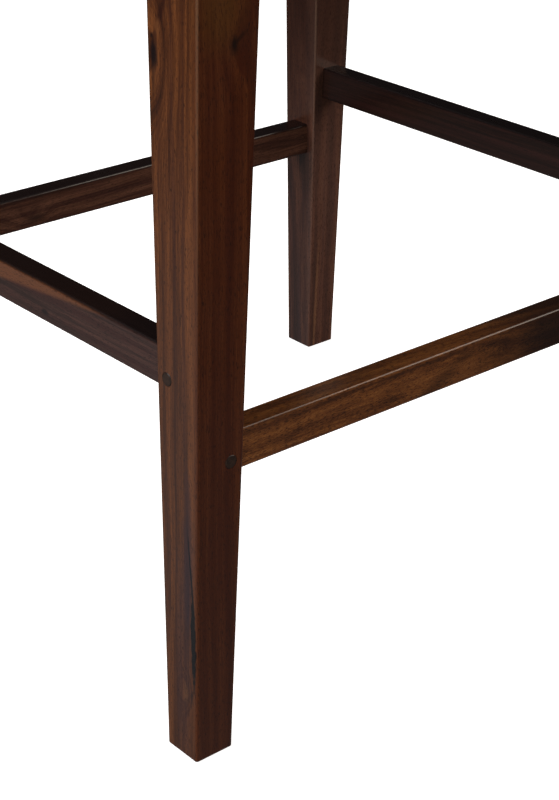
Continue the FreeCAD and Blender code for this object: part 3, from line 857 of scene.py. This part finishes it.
def makeCushion(hide):
    piece = seatForm(hide)
    inflate(piece)
    soften = piece.modifiers.new("soften", "SMOOTH")
    soften.factor = 0.5
    soften.iterations = 2
    divide = piece.modifiers.new("divide", "SUBSURF")
    divide.levels = divide.render_levels = 1
    applyModifiers(piece)
    pullIn(piece)
    piece.data.materials.clear()
    piece.data.materials.append(hide)
    piece.data.shade_smooth()
    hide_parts("seat_cover", "seat_foam")
    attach(piece, "root")
    return piece


welt = {
    "along": 520,           # rings along the welt and points round each
    "around": 14,
    "wobble": 0.035,        # share by which the fold thickens and thins
    "wobblesPerMetre": 90,
}


def makeWelt(hide):
    # leather folded round a cord and sewn into the seam
    low, high = seat["welt"]
    radius = seat["weltRadius"]
    halfX = (high.x - low.x) / 2 - radius
    halfY = (high.y - low.y) / 2 - radius
    rate = welt["wobblesPerMetre"]
    around = welt["around"]
    rings = []
    for point, outward in roundedOutline(halfX, halfY, seat["cornerRadius"] - radius, welt["along"]):
        wobble = 1 + welt["wobble"] * noise.noise(Vector((point.x * rate, point.y * rate, 1.7)))
        ring = []
        for k in range(around):
            angle = 2 * math.pi * k / around
            flat = outward * (math.cos(angle) * radius * wobble)
            z = seat["seamHeight"] + math.sin(angle) * radius * wobble
            ring.append((point.x + flat.x, point.y + flat.y, z))
        rings.append(ring)
    rings.append(rings[0])
    piece = loftRings("seat_piping", rings, hide, caps=False)
    shape = bmesh.new()
    shape.from_mesh(piece.data)
    bmesh.ops.remove_doubles(shape, verts=shape.verts, dist=0.00001)
    bmesh.ops.recalc_face_normals(shape, faces=shape.faces)
    shape.to_mesh(piece.data)
    shape.free()
    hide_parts("seat_welt")
    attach(piece, "root")
    return piece


stitching = {
    "length": 0.0034,
    "pitch": 0.0046,
    "threadRadius": 0.00045,
    "inset": 0.0075,        # from the welt to each row
    "pathPoints": 900,
}


def stitchTree(thread):
    # one rounded stitch at each step along a path, laid in the path's direction
    tree = bpy.data.node_groups.new("stitches", "GeometryNodeTree")
    face = tree.interface
    face.new_socket("Geometry", in_out="INPUT", socket_type="NodeSocketGeometry")
    sockets = {}
    for label in ("Pitch", "Stitch Length", "Thread Radius"):
        socket = face.new_socket(label, in_out="INPUT", socket_type="NodeSocketFloat")
        sockets[label] = socket.identifier
    face.new_socket("Geometry", in_out="OUTPUT", socket_type="NodeSocketGeometry")
    given = addNode(tree, "NodeGroupInput").outputs
    path = addNode(tree, "GeometryNodeMeshToCurve", None, {"Mesh": given["Geometry"]}).outputs[0]
    points = addNode(tree, "GeometryNodeCurveToPoints", {"mode": "LENGTH"},
                     {"Curve": path, "Length": given["Pitch"]}).outputs
    bead = addNode(tree, "GeometryNodeMeshUVSphere", None, {
        "Segments": 8, "Rings": 6, "Radius": 1.0}).outputs[0]
    half = addNode(tree, "ShaderNodeMath", times, {0: given["Stitch Length"], 1: 0.5}).outputs[0]
    size = addNode(tree, "ShaderNodeCombineXYZ", None, {
        0: given["Thread Radius"], 1: given["Thread Radius"], 2: half}).outputs[0]
    stitch = addNode(tree, "GeometryNodeTransform", None, {"Geometry": bead, "Scale": size}).outputs[0]
    turn = addNode(tree, "FunctionNodeAlignRotationToVector", {"axis": "Z"}, {
        "Vector": points["Tangent"]}).outputs[0]
    laid = addNode(tree, "GeometryNodeInstanceOnPoints", None, {
        "Points": points["Points"], "Instance": stitch, "Rotation": turn}).outputs[0]
    real = addNode(tree, "GeometryNodeRealizeInstances", None, {"Geometry": laid}).outputs[0]
    done = addNode(tree, "GeometryNodeSetMaterial", None, {"Geometry": real, "Material": thread}).outputs[0]
    addNode(tree, "NodeGroupOutput", None, {0: done})
    return tree, sockets


def surfacePath(surface, inset, height):
    # a closed run of points on the cushion: inset from the outline, or at a height on its side
    halfX, halfY, radius = seatHalf(inset)
    points = []
    for point, outward in roundedOutline(halfX, halfY, max(radius, 0.012), stitching["pathPoints"]):
        if height is None:
            start = Vector((point.x, point.y, seat["cover"][1].z + 0.05))
            hit, normal = surface.ray_cast(start, Vector((0, 0, -1)))[:2]
        else:
            away = outward.to_3d()
            start = Vector((point.x, point.y, height)) + away * 0.05
            hit, normal = surface.ray_cast(start, -away)[:2]
        points.append(hit + normal * 0.1 * millimetre)
    return points


def makeStitches(cushion, thread):
    tree, sockets = stitchTree(thread)
    surface = BVHTree.FromPolygons([v.co.copy() for v in cushion.data.vertices],
                                   [tuple(p.vertices) for p in cushion.data.polygons])
    rows = {
        "stitches_top": surfacePath(surface, stitching["inset"] + seat["weltRadius"] * 2, None),
        "stitches_side": surfacePath(surface, 0, seat["seamHeight"] - stitching["inset"]),
    }
    for name, points in rows.items():
        mesh = bpy.data.meshes.new(name)
        count = len(points)
        mesh.from_pydata(points, [(i, (i + 1) % count) for i in range(count)], [])
        piece = bpy.data.objects.new(name, mesh)
        scene.collection.objects.link(piece)
        rule = piece.modifiers.new("stitches", "NODES")
        rule.node_group = tree
        rule[sockets["Pitch"]] = stitching["pitch"]
        rule[sockets["Stitch Length"]] = stitching["length"]
        rule[sockets["Thread Radius"]] = stitching["threadRadius"]
        applyModifiers(piece)
        piece.data.shade_smooth()
        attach(piece, "root")


# stapled flat round its edge and slack in the middle
dustCover = {
    "box": [Vector(corner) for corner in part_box("dust_cover")],
    "notch": 0.0154,        # corner cut away round each leg
    "thickness": 0.0006,
    "hem": 0.010,
    "sag": 0.0035,
    "bellyReach": 0.12,     # from the hem to where it hangs lowest
    "ripple": 0.0005,
    "pucker": 0.0006,
    "puckerReach": 0.03,
    "staplePitch": 0.034,
    "cell": 0.004,
}


def makeDustCover(cloth):
    low, high = dustCover["box"]
    columns = round((high.x - low.x) / dustCover["cell"])
    rows = round((high.y - low.y) / dustCover["cell"])
    cut = dustCover["notch"]
    top = high.z - 0.1 * millimetre
    vertices = []
    index = {}
    faces = []
    for j in range(rows + 1):
        for i in range(columns + 1):
            x = low.x + (high.x - low.x) * i / columns
            y = low.y + (high.y - low.y) * j / rows
            edge = min(high.x - abs(x), high.y - abs(y))
            inward = max(0.0, edge - dustCover["hem"])
            belly = min(1.0, inward / dustCover["bellyReach"])
            drop = dustCover["sag"] * belly * belly * (3 - 2 * belly)
            run = x if high.y - abs(y) < high.x - abs(x) else y
            ridge = math.sin(math.pi * run / dustCover["staplePitch"]) ** 2
            drop += dustCover["pucker"] * ridge * max(0.0, 1 - edge / dustCover["puckerReach"])
            drop += dustCover["ripple"] * (noise.noise(Vector((x * 22, y * 22, 4.2))) + 1) * belly
            index[i, j] = len(vertices)
            vertices.append((x, y, top - drop))
    for j in range(rows):
        for i in range(columns):
            x = abs(low.x + (high.x - low.x) * (i + 0.5) / columns)
            y = abs(low.y + (high.y - low.y) * (j + 0.5) / rows)
            if x > high.x - cut and y > high.y - cut:
                continue
            faces.append((index[i, j], index[i + 1, j], index[i + 1, j + 1], index[i, j + 1]))
    piece = meshPiece("dust_cloth", vertices, faces, cloth)
    shape = bmesh.new()
    shape.from_mesh(piece.data)
    loose = [v for v in shape.verts if not v.link_faces]
    bmesh.ops.delete(shape, geom=loose, context="VERTS")
    shape.normal_update()
    if sum(f.normal.z for f in shape.faces) < 0:
        bmesh.ops.reverse_faces(shape, faces=shape.faces)
    shape.to_mesh(piece.data)
    shape.free()
    wall = piece.modifiers.new("wall", "SOLIDIFY")
    wall.thickness = dustCover["thickness"]
    wall.offset = -1
    applyModifiers(piece)
    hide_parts("dust_cover")
    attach(piece, "root")


def dress(node, material):
    # a CAD node keeps its mesh and gets a better material
    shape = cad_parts[node]
    for entry in shape.material_slots:
        entry.material = material


addCamera(stoolCamera)
addStudio(studio)
print("studio ready")
for node, plan in boards.items():
    dress(node, lacqueredWalnut("lacquered walnut " + node, plan))
pegWood = pegEndGrain("lacquered peg end grain")
poplar = barePoplar("bare sawn poplar")
zinc = platedSteel("zinc plated steel", "#c9c2ad", 0.32)
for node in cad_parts:
    if node.endswith("pegs"):
        dress(node, pegWood)
    if node.startswith("corner_block"):
        dress(node, poplar)
    if node.endswith("screws"):
        dress(node, zinc)
dress("staples", platedSteel("galvanised staple wire", "#b9bbbd", 0.35))
dress("seat_board", birchPlywood("birch plywood"))
print("wood and metal ready")
hide = drumDyedLeather("drum dyed leather", leather)
cushion = makeCushion(hide)
print("cushion ready", len(cushion.data.polygons), "faces")
makeWelt(hide)
makeStitches(cushion, bondedThread("bonded thread"))
makeDustCover(spunBondedCloth("spun bonded dust cloth"))
print("seat ready")
